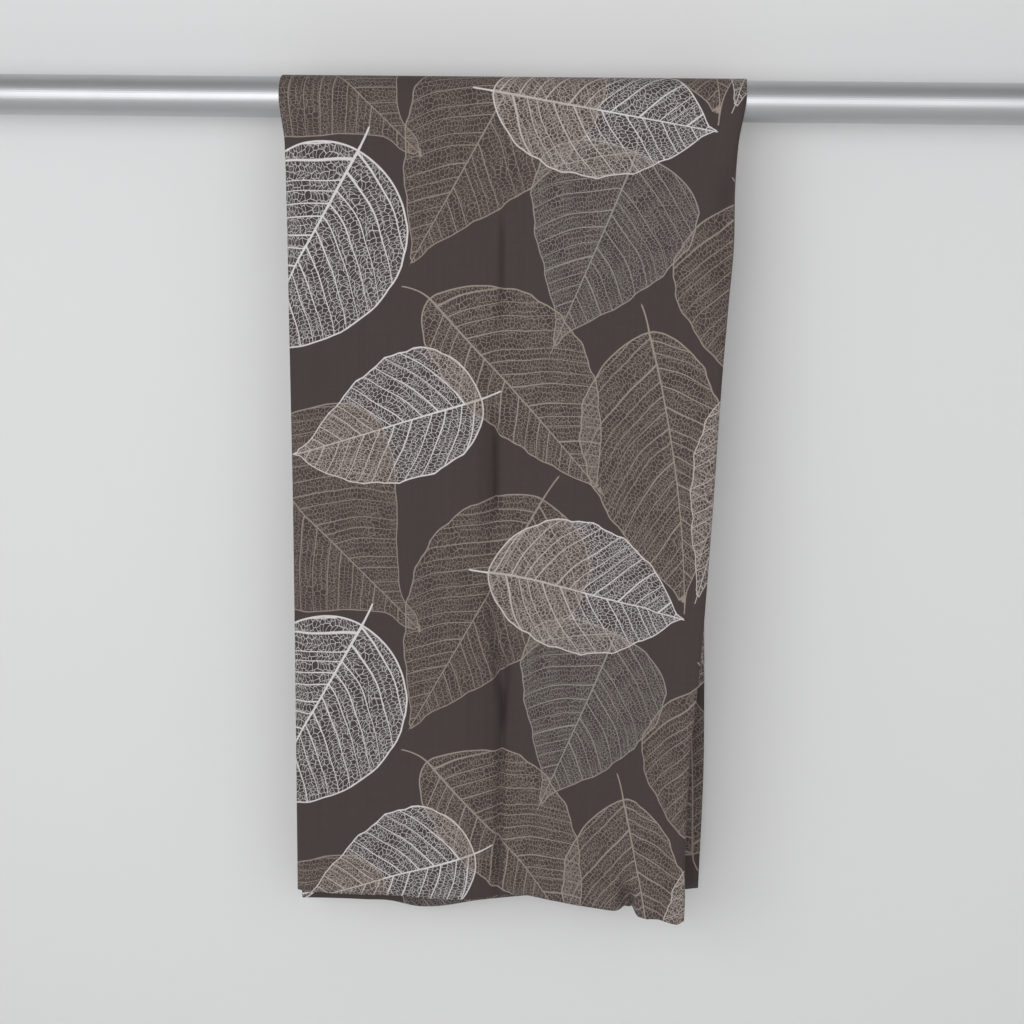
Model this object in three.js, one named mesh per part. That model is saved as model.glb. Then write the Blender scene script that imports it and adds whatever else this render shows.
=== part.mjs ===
// Printed curtain panel, folded in half lengthwise and draped over a plain round rod.
//
// The cloth is one cut length. Its long fold is at the left (-X), its two long free edges lie on
// each other at the right (+X), and it passes over the rod, so that two plies hang in front
// (-Y) and two behind (+Y). It is one closed solid with the thickness of the sheet.
//
// Millimetres, +Z up, +X along the rod. The origin is on the rod's axis, at the rod's middle.

import * as THREE from 'three';

// ---- driving dimensions -------------------------------------------------------------------
const ROD_RADIUS = 25.4;
const ROD_LENGTH = 1500;
const ROD_SIDES = 64;

const SHEET = 1.0; // thickness of the cloth as modelled
const PLY_GAP = 0.7; // air between the two plies where they are drawn tight over the rod
const SEAT_GAP = 0.62; // rod to the inner ply, measured at the corner lines of the wrap
const FOLDED_WIDTH = 571.5; // half of the 1143 mm cut width, from the fold to the free edges

const LEFT_EDGE = -291; // where the fold lies along the rod
const WRAP_FACETS = 12; // flats in the half turn over the rod
const FRONT_ROWS = 15;
const BACK_ROWS = 8;
const TURN_FACETS = 6; // flats round the long fold

// How the long fold fills out once the cloth hangs free of the rod.
const LOFT = { radius: 2.6, reach: 70, settles: 110 };

// Each hanging half, as it lies at its hem from the long fold (s = 0) to the free edges.
// It stands away from the rod, waves in soft swells (hollows where the height is negative) and
// may flare out towards its free edges. Its hem hangs long as far as s = level, and from there
// rises in a straight line to short at the free edges. shift is how far the fold has moved along
// +X at the hem, and ease is the share of the width that fine ripples take up there.
const HALVES = {
  front: {
    stand: 6,
    swells: [
      { s: 200, height: 8, width: 60 },
      { s: 308, height: -14, width: 46 },
      { s: 476, height: -8, width: 13 },
    ],
    flare: { from: 380, reach: 62, power: 1.2 },
    hem: { long: 1048, short: 1042, level: 555 },
    shift: 11,
    ease: 0.052,
  },
  back: {
    stand: 0,
    swells: [
      { s: 175, height: -15, width: 70 },
      { s: 360, height: 8, width: 60 },
      { s: 520, height: -4, width: 35 },
    ],
    flare: { from: 380, reach: 0, power: 1.2 },
    hem: { long: 1081, short: 1043, level: 170 },
    shift: 4,
    ease: 0.045,
  },
};

// Soft vertical troughs pressed into the front half.
const TROUGHS = [
  { s: 288, top: 190, bottom: 930, depth: 5, width: 13 },
  { s: 516, top: 70, bottom: 420, depth: 4, width: 16 },
];

// Distances across the folded cloth at which the section has a corner line.
const COLUMNS = [
  18, 50, 90, 130, 172, 215, 245, 268, 280, 288, 296, 312, 340, 370, 400, 425, 438, 450, 463, 476,
  488, 500, 508, 516, 526, 542, 560, 571.5,
];

// ---- small helpers ------------------------------------------------------------------------
const TIGHT = (SHEET + PLY_GAP) / 2; // half the distance between the plies' middles
const WRAP_RADIUS = ROD_RADIUS + SEAT_GAP + SHEET + PLY_GAP / 2; // midway between the plies

const smooth = (x) => {
  const t = THREE.MathUtils.clamp(x, 0, 1);
  return t * t * (3 - 2 * t);
};

// How far one half swings away from the rod at its hem, at s, and the slope of that swing.
function swingAt(half, s) {
  const { from, reach, power } = half.flare;
  const t = Math.max(s - from, 0) / (FOLDED_WIDTH - from);
  let value = half.stand + reach * t ** power;
  let slope = (reach * power * t ** (power - 1)) / (FOLDED_WIDTH - from);
  for (const swell of half.swells) {
    const r = (s - swell.s) / swell.width;
    const wave = swell.height * Math.exp(-r * r);
    value += wave;
    slope -= (wave * 2 * r) / swell.width;
  }
  return { value, slope };
}

// Length of one half from the rod's axis down to its hem, at s.
function dropAt(half, s) {
  const { long, short, level } = half.hem;
  return long - ((long - short) * Math.max(s - level, 0)) / (FOLDED_WIDTH - level);
}

// ---- the shape in which the cloth hangs -----------------------------------------------------
// A station is one line across the cloth. wrap is its angle over the rod, from -90 (front) to
// +90 degrees (back), and fall is its share of the way down to the hem of its half.
function stations() {
  const list = [];
  for (let i = FRONT_ROWS; i > 0; i -= 1) {
    list.push({ half: HALVES.front, wrap: -Math.PI / 2, fall: i / FRONT_ROWS });
  }
  for (let i = 0; i <= WRAP_FACETS; i += 1) {
    const wrap = Math.PI * (i / WRAP_FACETS - 0.5);
    list.push({ half: wrap < 0 ? HALVES.front : HALVES.back, wrap, fall: 0 });
  }
  for (let i = 1; i <= BACK_ROWS; i += 1) {
    list.push({ half: HALVES.back, wrap: Math.PI / 2, fall: i / BACK_ROWS });
  }
  return list;
}

// Middle line between the two plies along a station, sampled from the fold to the free edges:
// x along the rod, out away from it, and the direction across.
function middleLine({ half, fall }) {
  const step = 2;
  const line = [];
  let x = LEFT_EDGE + half.shift * fall;
  for (let s = 0; s <= FOLDED_WIDTH + step; s += step) {
    const at = Math.min(s, FOLDED_WIDTH);
    const drop = fall * dropAt(half, at);
    const swing = swingAt(half, at);
    let out = swing.value * fall;
    let slope = swing.slope * fall;
    if (half === HALVES.front) {
      for (const t of TROUGHS) {
        const r = (at - t.s) / t.width;
        const reach = smooth((drop - t.top) / 160) * smooth((t.bottom - drop) / 160);
        const dip = t.depth * reach * Math.exp(-r * r);
        out -= dip;
        slope += (dip * 2 * r) / t.width;
      }
    }
    slope = THREE.MathUtils.clamp(slope, -0.94, 0.94);
    line.push({ x, out, drop, slope });
    x += step * Math.sqrt(1 - slope * slope) * (1 - half.ease * fall);
  }
  return (s) => {
    const k = Math.min(s / step, line.length - 1.001);
    const [a, b, t] = [line[Math.floor(k)], line[Math.floor(k) + 1], k % 1];
    const mix = (key) => a[key] + (b[key] - a[key]) * t;
    return { x: mix('x'), out: mix('out'), drop: mix('drop'), slope: mix('slope') };
  };
}

// The section: from the free edge of the inner ply, round the fold, to that of the outer ply.
// turn is -90 degrees on the inner ply, +90 on the outer, and runs between them round the fold.
function section() {
  const ply = COLUMNS.map((s) => ({ s, turn: Math.PI / 2 }));
  const points = ply.map(({ s, turn }) => ({ s, turn: -turn })).reverse();
  for (let i = 0; i <= TURN_FACETS; i += 1) {
    points.push({ s: 0, turn: Math.PI * (i / TURN_FACETS - 0.5) });
  }
  return points.concat(ply);
}

// One point of the cloth: face is -1 or +1 for its two faces.
function place(station, at, point, face) {
  const free = smooth((station.fall * 1050) / LOFT.settles);
  const spread = LOFT.radius * free * Math.exp(-point.s / LOFT.reach);
  const radius = TIGHT + spread + (face * SHEET) / 2;
  const across = at(point.s);
  const run = Math.sqrt(1 - across.slope ** 2);
  // u: along the section; n: away from the middle line, on the outer side.
  const u = TIGHT + spread - radius * Math.cos(point.turn);
  const n = radius * Math.sin(point.turn);
  const lift = point.s === 0 ? u : 0;
  const x = across.x + lift * run - n * across.slope;
  const out = WRAP_RADIUS + across.out + n * run + lift * across.slope;
  return new THREE.Vector3(x, out * Math.sin(station.wrap), out * Math.cos(station.wrap) - across.drop);
}

// Closed sheet: two faces and four rims, from a grid of stations and section points.
function clothGeometry() {
  const rows = stations();
  const points = section();
  const cols = points.length;
  const positions = [];
  for (const face of [1, -1]) {
    for (const station of rows) {
      const at = middleLine(station);
      for (const point of points) positions.push(...place(station, at, point, face).toArray());
    }
  }
  const count = rows.length * cols;
  const id = (face, r, c) => face * count + r * cols + c;
  const index = [];
  const quad = (a, b, c, d) => index.push(a, b, c, a, c, d);
  for (let r = 0; r < rows.length - 1; r += 1) {
    for (let c = 0; c < cols - 1; c += 1) {
      quad(id(0, r, c), id(0, r, c + 1), id(0, r + 1, c + 1), id(0, r + 1, c));
      quad(id(1, r, c), id(1, r + 1, c), id(1, r + 1, c + 1), id(1, r, c + 1));
    }
    quad(id(0, r, 0), id(0, r + 1, 0), id(1, r + 1, 0), id(1, r, 0));
    quad(id(0, r + 1, cols - 1), id(0, r, cols - 1), id(1, r, cols - 1), id(1, r + 1, cols - 1));
  }
  const last = rows.length - 1;
  for (let c = 0; c < cols - 1; c += 1) {
    quad(id(0, 0, c + 1), id(0, 0, c), id(1, 0, c), id(1, 0, c + 1));
    quad(id(0, last, c), id(0, last, c + 1), id(1, last, c + 1), id(1, last, c));
  }
  const geometry = new THREE.BufferGeometry();
  geometry.setAttribute('position', new THREE.Float32BufferAttribute(positions, 3));
  geometry.setIndex(index);
  geometry.computeVertexNormals();
  return geometry;
}

// ---- the object -----------------------------------------------------------------------------
const cloth = new THREE.MeshStandardMaterial({ color: 0x4a403d, roughness: 0.92, metalness: 0 });
const satin = new THREE.MeshStandardMaterial({ color: 0xb4b5b8, roughness: 0.35, metalness: 1 });

const panel = new THREE.Mesh(clothGeometry(), cloth);
panel.name = 'panel';

const rod = new THREE.Mesh(
  new THREE.CylinderGeometry(ROD_RADIUS, ROD_RADIUS, ROD_LENGTH, ROD_SIDES),
  satin,
);
rod.name = 'rod';
rod.rotation.z = Math.PI / 2;

const object = new THREE.Group();
object.add(rod, panel);

export default object;
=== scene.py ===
"""Visual model of a printed curtain panel, folded lengthwise and draped over a plain curtain rod.

The cloth is one cut length of cotton printed with skeleton leaves. It is folded in half along its
length, with the long fold at -X and the two free long edges at +X, and it hangs over the rod, so
that two plies hang in front and two behind. Sizes in tables are in millimetres. Flat cloth
coordinates are s, across from the long fold (negative on the ply nearer the rod), and v, along
the cloth from the crown of the rod (positive down the front).
"""

import logging
import math
from dataclasses import dataclass
from enum import Enum
from typing import ClassVar

import bmesh
import bpy
import numpy as np
from mathutils import Matrix, Vector


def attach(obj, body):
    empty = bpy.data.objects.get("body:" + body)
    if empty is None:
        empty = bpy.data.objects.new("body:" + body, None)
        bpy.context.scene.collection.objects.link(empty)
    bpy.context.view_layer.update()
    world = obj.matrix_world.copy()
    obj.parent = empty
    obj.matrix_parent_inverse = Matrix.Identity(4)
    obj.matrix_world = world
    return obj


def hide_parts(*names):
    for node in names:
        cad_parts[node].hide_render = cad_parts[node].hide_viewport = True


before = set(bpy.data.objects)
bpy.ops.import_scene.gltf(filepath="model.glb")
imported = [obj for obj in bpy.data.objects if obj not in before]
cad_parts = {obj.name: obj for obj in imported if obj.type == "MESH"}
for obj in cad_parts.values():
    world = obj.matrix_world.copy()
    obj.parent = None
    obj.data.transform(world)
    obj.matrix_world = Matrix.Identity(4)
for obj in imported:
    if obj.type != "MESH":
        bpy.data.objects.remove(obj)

LOG = logging.getLogger("curtain_panel")
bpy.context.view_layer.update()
MM = 0.001
Array = np.ndarray
Socket = bpy.types.NodeSocket
Tree = bpy.types.NodeTree
Colour = tuple[float, float, float]


def smooth(x: Array) -> Array:
    """Soft step from 0 to 1.

    Args:
        x: Position, where 0 is the start of the step and 1 is its end.

    Returns:
        The height of the step.
    """
    t = np.clip(x, 0.0, 1.0)
    return t * t * (3.0 - 2.0 * t)


def bell(s: Array, centre: Array, width: float) -> Array:
    """Soft bump of height 1 round its centre."""
    return np.exp(-(((s - centre) / width) ** 2))


def along(rows: tuple, column: str, s: Array, key: str = "s") -> Array:
    """Reads one column of a table on a smooth curve through its rows.

    Args:
        rows: Table rows, in order of their key column.
        column: Name of the column to read.
        s: Values of the key column at which it is wanted.
        key: Name of the key column.

    Returns:
        The column's values at s.
    """
    at = np.array([getattr(row, key) for row in rows], float)
    value = np.array([getattr(row, column) for row in rows], float)
    chord = np.diff(value) / np.diff(at)
    slope = np.concatenate([chord[:1], chord])
    before, after = chord[:-1], chord[1:]
    turns = before * after <= 0
    total = np.where(turns, 1.0, before + after)
    slope[1:-1] = np.where(turns, 0.0, 2 * before * after / total)
    k = np.clip(np.searchsorted(at, s, side="right") - 1, 0, len(at) - 2)
    h = at[k + 1] - at[k]
    t = (s - at[k]) / h
    return (
        (2 * t**3 - 3 * t**2 + 1) * value[k]
        + (t**3 - 2 * t**2 + t) * slope[k] * h
        + (3 * t**2 - 2 * t**3) * value[k + 1]
        + (t**3 - t**2) * slope[k + 1] * h
    )


def add_object(name: str, data: bpy.types.ID) -> bpy.types.Object:
    """Puts an object into the scene.

    Args:
        name: The object's name.
        data: Its mesh, lamp or camera.

    Returns:
        The object.
    """
    made = bpy.data.objects.new(name, data)
    bpy.context.scene.collection.objects.link(made)
    return made


def corner_points(mesh: bpy.types.Mesh) -> Array:
    """Reads which vertex each face corner of a mesh stands on.

    Args:
        mesh: The mesh.

    Returns:
        The vertices' numbers, in the order of the corners.
    """
    corners = np.empty(len(mesh.loops), np.int64)
    mesh.loops.foreach_get("vertex_index", corners)
    return corners


# ---- node wiring ------------------------------------------------------------------------------


class Wiring:
    """Adds nodes to a node tree, in order, and joins them."""

    def __init__(self, tree: Tree) -> None:
        """Takes the tree that the nodes go into."""
        self.tree = tree

    def join(self, source: object, socket: Socket) -> None:
        """Feeds a socket from another socket, or sets it to a plain value.

        Args:
            source: An output socket, a number or a tuple of numbers.
            socket: The input socket.
        """
        if isinstance(source, Socket):
            self.tree.links.new(source, socket)
        else:
            socket.default_value = source

    def node(self, kind: str, *values: object, **settings: object) -> bpy.types.Node:
        """Adds a node.

        Args:
            kind: The node's kind, such as ShaderNodeMath.
            values: What its first inputs take, in their order: sockets or plain values.
            settings: Its settings, by name.

        Returns:
            The node.
        """
        made = self.tree.nodes.new(kind)
        for name, value in settings.items():
            setattr(made, name, value)
        for value, socket in zip(values, made.inputs):
            self.join(value, socket)
        return made

    def feed(self, node: bpy.types.Node, inputs: dict[str, object]) -> bpy.types.NodeOutputs:
        """Feeds some of a node's inputs.

        Args:
            node: The node.
            inputs: What each input takes, by the input's name.

        Returns:
            The node's outputs.
        """
        for name, source in inputs.items():
            self.join(source, node.inputs[name])
        return node.outputs

    def math(self, operation: str, *values: object, clamp: bool = False) -> Socket:
        """Adds a Math node.

        Args:
            operation: The node's operation.
            values: Its inputs, sockets or numbers.
            clamp: Whether the result is held between 0 and 1.

        Returns:
            The node's output.
        """
        made = self.node("ShaderNodeMath", *values, operation=operation, use_clamp=clamp)
        return made.outputs[0]

    def mix(self, factor: object, a: object, b: object) -> Socket:
        """Adds a Mix node for colours.

        Args:
            factor: Share of b.
            a: Colour where the factor is 0.
            b: Colour where the factor is 1.

        Returns:
            The mixed colour.
        """
        made = self.node("ShaderNodeMix", factor, data_type="RGBA", clamp_factor=True)
        for value, socket in ((a, made.inputs[6]), (b, made.inputs[7])):
            self.join((*value, 1.0) if isinstance(value, tuple) else value, socket)
        return made.outputs[2]

    def parts(self, vector: object) -> tuple:
        """Splits a vector into its three numbers."""
        return tuple(self.node("ShaderNodeSeparateXYZ", vector).outputs)

    def vector(self, *values: object) -> Socket:
        """Makes a vector from up to three numbers."""
        return self.node("ShaderNodeCombineXYZ", *values).outputs[0]

    def line(self, half_width: object, distance: object, soft: float) -> Socket:
        """Mask of a drawn line.

        Args:
            half_width: Half the line's width.
            distance: Distance from the line's middle.
            soft: Width over which the line's edge fades.

        Returns:
            1 on the line and 0 off it.
        """
        left = self.math("SUBTRACT", half_width, distance)
        return self.math("MULTIPLY_ADD", left, 1.0 / soft, 0.5, clamp=True)

    def attribute(self, name: str) -> Socket:
        """Reads one of the cloth's own attributes."""
        return self.node("ShaderNodeAttribute", attribute_name=name).outputs["Vector"]

    def stretched(self, values: tuple, factors: tuple) -> Socket:
        """Makes a vector from numbers, each multiplied by its own factor."""
        return self.vector(*(self.math("MULTIPLY", *pair) for pair in zip(values, factors)))

    def noise(
        self, at: object, detail: float, scale: float = 1.0, dimensions: str = "2D"
    ) -> Socket:
        """Adds a smooth noise.

        Args:
            at: The place, as a vector.
            detail: How many finer layers it has.
            scale: How many of its waves go into a unit of length.
            dimensions: Whether it varies in 2D or 3D.

        Returns:
            The noise, about 0.5 on average.
        """
        made = self.node("ShaderNodeTexNoise", noise_dimensions=dimensions)
        return self.feed(made, {"Vector": at, "Scale": scale, "Detail": detail})["Fac"]

    def bump(self, height: object, strength: float, unit: float) -> Socket:
        """Turns a height into a normal.

        Args:
            height: The height, counted in units.
            strength: How strongly it shows, up to 1.
            unit: One unit of height, in metres.

        Returns:
            The normal.
        """
        given = {"Strength": strength, "Distance": unit, "Height": height}
        return self.feed(self.node("ShaderNodeBump"), given)["Normal"]

    def use(self, group: Tree, **inputs: object) -> bpy.types.NodeOutputs:
        """Adds a node group, feeds its inputs by name and gives its outputs."""
        return self.feed(self.node("ShaderNodeGroup", node_tree=group), inputs)


def new_group(name: str, inputs: dict[str, str], outputs: dict[str, str]) -> tuple:
    """Makes a shader node group with named sockets.

    Args:
        name: The group's name.
        inputs: Socket kind of each input.
        outputs: Socket kind of each output.

    Returns:
        The group, its wiring, its input node and its output node.
    """
    group = bpy.data.node_groups.new(name, "ShaderNodeTree")
    for way, sockets in (("INPUT", inputs), ("OUTPUT", outputs)):
        for socket, kind in sockets.items():
            group.interface.new_socket(name=socket, in_out=way, socket_type=f"NodeSocket{kind}")
    wiring = Wiring(group)
    return group, wiring, wiring.node("NodeGroupInput"), wiring.node("NodeGroupOutput")


def new_material(name: str) -> tuple:
    """Makes an empty node material.

    Args:
        name: The material's name.

    Returns:
        The material, its wiring and its Principled BSDF.
    """
    material = bpy.data.materials.new(name)
    material.use_nodes = True
    material.node_tree.nodes.clear()
    wiring = Wiring(material.node_tree)
    shader = wiring.node("ShaderNodeBsdfPrincipled")
    wiring.node("ShaderNodeOutputMaterial", shader.outputs[0])
    return material, wiring, shader


# ---- the printed leaves -------------------------------------------------------------------------


class Ink(Enum):
    """Inks of the print, each a linear colour."""

    WHITE = (0.72, 0.69, 0.68)
    PALE = (0.71, 0.68, 0.67)
    STONE = (0.315, 0.288, 0.264)
    TAUPE = (0.345, 0.285, 0.245)
    DEEP = (0.315, 0.258, 0.222)
    TAN = (0.545, 0.487, 0.45)


@dataclass(frozen=True)
class Blade:
    """Outline of one side of a leaf: widest half-width, and how full it is at base and tip."""

    width: float
    base: float
    tip: float
    # The drawn-out point: its width at its root as a share of the blade's, how fast it narrows,
    # and the share of it that stands clear of the blade.
    point_width: ClassVar[float] = 0.075
    point_power: ClassVar[float] = 1.3
    point_clear: ClassVar[float] = 0.8

    def half_width(self, t: Array, drip: float) -> Array:
        """Half-width of the blade.

        Args:
            t: Share of the way from the base to the tip.
            drip: Share of the length taken up by the drawn-out point.

        Returns:
            The half-width at each t.
        """
        peak = self.base / (self.base + self.tip)
        top = peak**self.base * (1 - peak) ** self.tip
        u = np.clip(t / (1 - self.point_clear * drip), 0.0, 1.0)
        main = self.width * u**self.base * (1 - u) ** self.tip / top
        point = np.clip((1 - t) / drip, 0.0, 1.0) ** self.point_power
        spike = self.point_width * self.width * point
        return (main**4 + spike**4) ** 0.25


@dataclass(frozen=True)
class Wave:
    """A gentle wave over a leaf: its height, and its lengths along and across, per radian."""

    height: float
    along: float
    across: float


@dataclass(frozen=True)
class SkeletonLeaf:
    """One leaf of the repeat, placed in flat cloth coordinates.

    The right-hand side is the one towards larger s where the leaf points down the front. lobe
    is how far the blade reaches back behind the place where the stem joins it, drip is the share
    of the length that the drawn-out point takes up, cell is the size of the fine meshes, weight
    scales the lines and ruffle the unevenness of the margin.
    """

    base: tuple[float, float]
    tip: tuple[float, float]
    left: Blade
    right: Blade
    ink: Ink
    lobe: float = 0.0
    stem: float = 0.0
    stem_bend: float = 0.0
    bulge: float = 0.0
    drip: float = 0.08
    cell: float = 5.2
    weight: float = 0.85
    ruffle: float = 1.0
    # The margin: its points, and the heights, length and ratio of its two waves.
    margin_points: ClassVar[int] = 90
    ruffle_heights: ClassVar[tuple[float, float]] = (1.7, 0.9)
    ruffle_length: ClassVar[float] = 8.0
    ruffle_ratio: ClassVar[float] = 2.3
    # Half-widths: of the stem, what it gains at its foot (from a share of its length on) and at
    # the leaf's base, and over which length; how the midrib thins, and how both ends run out.
    stalk: ClassVar[float] = 1.15
    stalk_foot: ClassVar[float] = 0.25
    foot_from: ClassVar[float] = 0.6
    stalk_base: ClassVar[float] = 0.55
    stalk_blend: ClassVar[float] = 12.0
    rib_taper: ClassVar[float] = 0.7
    rib_ends: ClassVar[float] = 1.6
    # How steeply the side veins run forward at the base, and how much more at the tip.
    base_lean: ClassVar[float] = 0.42
    added_lean: ClassVar[float] = 0.5
    # How the veins stray along the leaf.
    broad: ClassVar[Wave] = Wave(3.2, 31, 27)
    fine: ClassVar[Wave] = Wave(1.5, 13, 15)

    @property
    def pale(self) -> bool:
        """Whether the leaf is printed over the others in a pale ink."""
        return self.ink in (Ink.WHITE, Ink.PALE, Ink.TAN)

    @property
    def length(self) -> float:
        """Distance from base to tip."""
        return math.dist(self.base, self.tip)

    @property
    def seed(self) -> float:
        """Number that sets this leaf's veins apart from the others'."""
        return round(self.base[0] * 0.37 + self.base[1] * 0.11, 1) % 17

    def coordinates(self, s: Array, v: Array) -> tuple[Array, Array]:
        """Turns flat cloth coordinates into leaf coordinates.

        Args:
            s: Flat coordinate across the cloth.
            v: Flat coordinate along it.

        Returns:
            Distances along the leaf from its base, and across it.
        """
        ds, dv = np.subtract(self.tip, self.base) / self.length
        rs, rv = s - self.base[0], v - self.base[1]
        return rs * ds + rv * dv, rs * dv - rv * ds

    def outline(self) -> Array:
        """Lays out the margin, slightly uneven as a real one is.

        Returns:
            Closed outline in leaf coordinates.
        """
        t = 0.5 - 0.5 * np.cos(np.linspace(0, math.pi, self.margin_points))
        a = t * (self.length + self.lobe) - self.lobe
        # The waves fade in from the base, and out before the drawn-out point.
        starts, ends = smooth(6 * t), smooth(4 * (1 - t - 0.7 * self.drip))
        first, second = self.ruffle_heights
        sides = []
        for side, blade in ((1, self.right), (-1, self.left)):
            turn = a / self.ruffle_length + self.seed + side
            wave = first * np.sin(turn) + second * np.sin(self.ruffle_ratio * turn)
            wave = self.ruffle * wave * starts * ends
            sides.append(np.stack([a, side * (blade.half_width(t, self.drip) + wave)], 1))
        return np.concatenate([sides[0], sides[1][::-1]])

    def inset(self, a: Array, b: Array) -> Array:
        """Measures how far places lie within the outline.

        Args:
            a: Distances along the leaf.
            b: Distances across it.

        Returns:
            Distance in from the outline at each place, negative outside it.
        """
        start = self.outline()
        step = np.roll(start, -1, axis=0) - start
        near = np.full(a.shape, np.inf)
        inside = np.zeros(a.shape, bool)
        for (pa, pb), (da, db) in zip(start, step):
            ra, rb = a - pa, b - pb
            share = np.clip((ra * da + rb * db) / max(da * da + db * db, 1e-9), 0, 1)
            near = np.minimum(near, np.hypot(ra - share * da, rb - share * db))
            crosses = (pb > b) != (pb + db > b)
            with np.errstate(divide="ignore", invalid="ignore"):
                inside ^= crosses & (ra < rb * da / db)
        return np.where(inside, near, -near)

    def rib(self, a: Array) -> Array:
        """Works out how thick stem and midrib are drawn.

        Args:
            a: Distances along the leaf.

        Returns:
            Their half-width at each place, negative past their ends.
        """
        t = np.clip(a / self.length, 0.0, 1.0)
        foot = self.stalk_foot * smooth(-a / max(self.stem, 1.0) - self.foot_from)
        stalk = self.stalk + foot + self.stalk_base * smooth(1 + a / self.stalk_blend)
        width = self.weight * (stalk - t**self.rib_taper)
        return np.minimum(width, self.rib_ends * np.minimum(a + self.stem, (self.length - a) / 2))

    def lean(self, a: Array) -> Array:
        """How far the side veins run forward for each step sideways."""
        return self.base_lean + self.added_lean * smooth(a / self.length)

    def middle(self, a: Array) -> Array:
        """Works out the curve of stem and midrib.

        Args:
            a: Distances along the leaf.

        Returns:
            Their sideways place at each.
        """
        t = np.clip(a / self.length, 0.0, 1.0)
        # The stem's bend goes on a little past its end, where nothing is drawn.
        back = np.clip(-a / max(self.stem, 1.0), 0.0, 1.2)
        return self.bulge * 4 * t * (1 - t) + self.stem_bend * back**2

    def strays(self, a: Array, b: Array) -> Array:
        """Works out how the veins stray, as grown ones do.

        Args:
            a: Distances along the leaf.
            b: Distances across it.

        Returns:
            How far the veins have strayed along the leaf at each place.
        """
        seed, broad, fine = self.seed, self.broad, self.fine
        slow = broad.height * np.sin(a / broad.along + seed) * np.sin(b / broad.across + 2 * seed)
        quick = fine.height * np.sin(a / fine.along + 3 * seed) * np.cos(b / fine.across + seed)
        return slow + quick


LEAVES = (
    SkeletonLeaf(
        base=(-50, 505), tip=(179, 727), left=Blade(175, 0.8, 1.75), right=Blade(158, 0.8, 1.75),
        ink=Ink.DEEP, lobe=30, stem=40, cell=4.9, weight=0.75, ruffle=0.6,
    ),
    SkeletonLeaf(
        base=(334, 550), tip=(157, 861), left=Blade(102, 0.65, 1.0), right=Blade(112, 0.4, 1.1),
        ink=Ink.DEEP, lobe=4, stem=47, stem_bend=3, drip=0.06, cell=5.4,
    ),
    SkeletonLeaf(
        base=(438, 121), tip=(341, 360), left=Blade(108, 0.45, 1.25), right=Blade(109, 0.35, 1.0),
        ink=Ink.STONE, lobe=16, stem=45, stem_bend=-12, drip=0.13, cell=4.2, weight=0.75,
    ),
    SkeletonLeaf(
        base=(188, 293), tip=(420, 538), left=Blade(57, 0.5, 0.85), right=Blade(109, 0.7, 0.9),
        ink=Ink.TAUPE, lobe=4, stem=42, stem_bend=-18, cell=4.9,
    ),
    SkeletonLeaf(
        base=(471, 329), tip=(544, 684), left=Blade(113, 0.62, 1.0), right=Blade(79, 0.58, 0.95),
        ink=Ink.TAUPE, lobe=2, stem=43, stem_bend=-6, bulge=11, cell=5.0,
    ),
    SkeletonLeaf(
        base=(582, 168), tip=(592, 410), left=Blade(88, 0.75, 1.3), right=Blade(84, 0.65, 1.2),
        ink=Ink.DEEP, lobe=2, stem=37, stem_bend=-15, cell=5.0,
    ),
    SkeletonLeaf(
        base=(93, 110), tip=(-54, 371), left=Blade(99, 0.5, 0.7), right=Blade(118, 0.5, 0.7),
        ink=Ink.WHITE, lobe=3, stem=39, stem_bend=-2, cell=6.0, weight=1.1, ruffle=0.4,
    ),
    SkeletonLeaf(
        base=(267, 643), tip=(547, 690), left=Blade(82, 0.62, 0.8), right=Blade(91, 0.62, 0.8),
        ink=Ink.PALE, lobe=2, stem=32, drip=0.07, cell=5.0, weight=0.9,
    ),
    SkeletonLeaf(
        base=(250, 417), tip=(3, 495), left=Blade(87, 0.5, 1.1), right=Blade(74, 0.5, 0.65),
        ink=Ink.PALE, lobe=2, stem=31, stem_bend=-2, drip=0.06, cell=5.0, weight=0.9,
    ),
    SkeletonLeaf(
        base=(625, 395), tip=(556, 671), left=Blade(60, 0.5, 1.1), right=Blade(66, 0.5, 1.0),
        ink=Ink.TAN, lobe=2, stem=30, weight=0.7,
    ),
    SkeletonLeaf(
        base=(716, 96), tip=(772, 402), left=Blade(92, 0.6, 1.0), right=Blade(86, 0.55, 1.0),
        ink=Ink.TAUPE, lobe=3, stem=40, stem_bend=6,
    ),
    SkeletonLeaf(
        base=(792, 512), tip=(690, 604), left=Blade(52, 0.5, 0.9), right=Blade(56, 0.5, 0.8),
        ink=Ink.PALE, lobe=2, stem=30, cell=5.0, weight=0.9,
    ),
    SkeletonLeaf(
        base=(905, 70), tip=(862, 330), left=Blade(96, 0.5, 1.1), right=Blade(98, 0.45, 1.0),
        ink=Ink.STONE, lobe=10, stem=42, stem_bend=-8, drip=0.1, cell=4.2, weight=0.75,
    ),
    SkeletonLeaf(
        base=(840, 424), tip=(1003, 612), left=Blade(84, 0.6, 1.0), right=Blade(92, 0.6, 1.0),
        ink=Ink.DEEP, lobe=4, stem=42, stem_bend=6, cell=5.6,
    ),
    SkeletonLeaf(
        base=(1046, 296), tip=(858, 392), left=Blade(66, 0.5, 0.9), right=Blade(60, 0.5, 0.8),
        ink=Ink.PALE, lobe=2, stem=30, cell=5.0, weight=0.9,
    ),
)


@dataclass(frozen=True)
class LeafPlace:
    """Where one printed leaf lies on the cloth's points.

    coordinates holds the distance along, the distance across and the inset of each point,
    growth its rib half-width, the lean of its side veins and its share of the leaf's length, and
    reach how far it lies within the leaf and its stem.
    """

    leaf: SkeletonLeaf
    coordinates: Array
    growth: Array
    reach: Array


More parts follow.
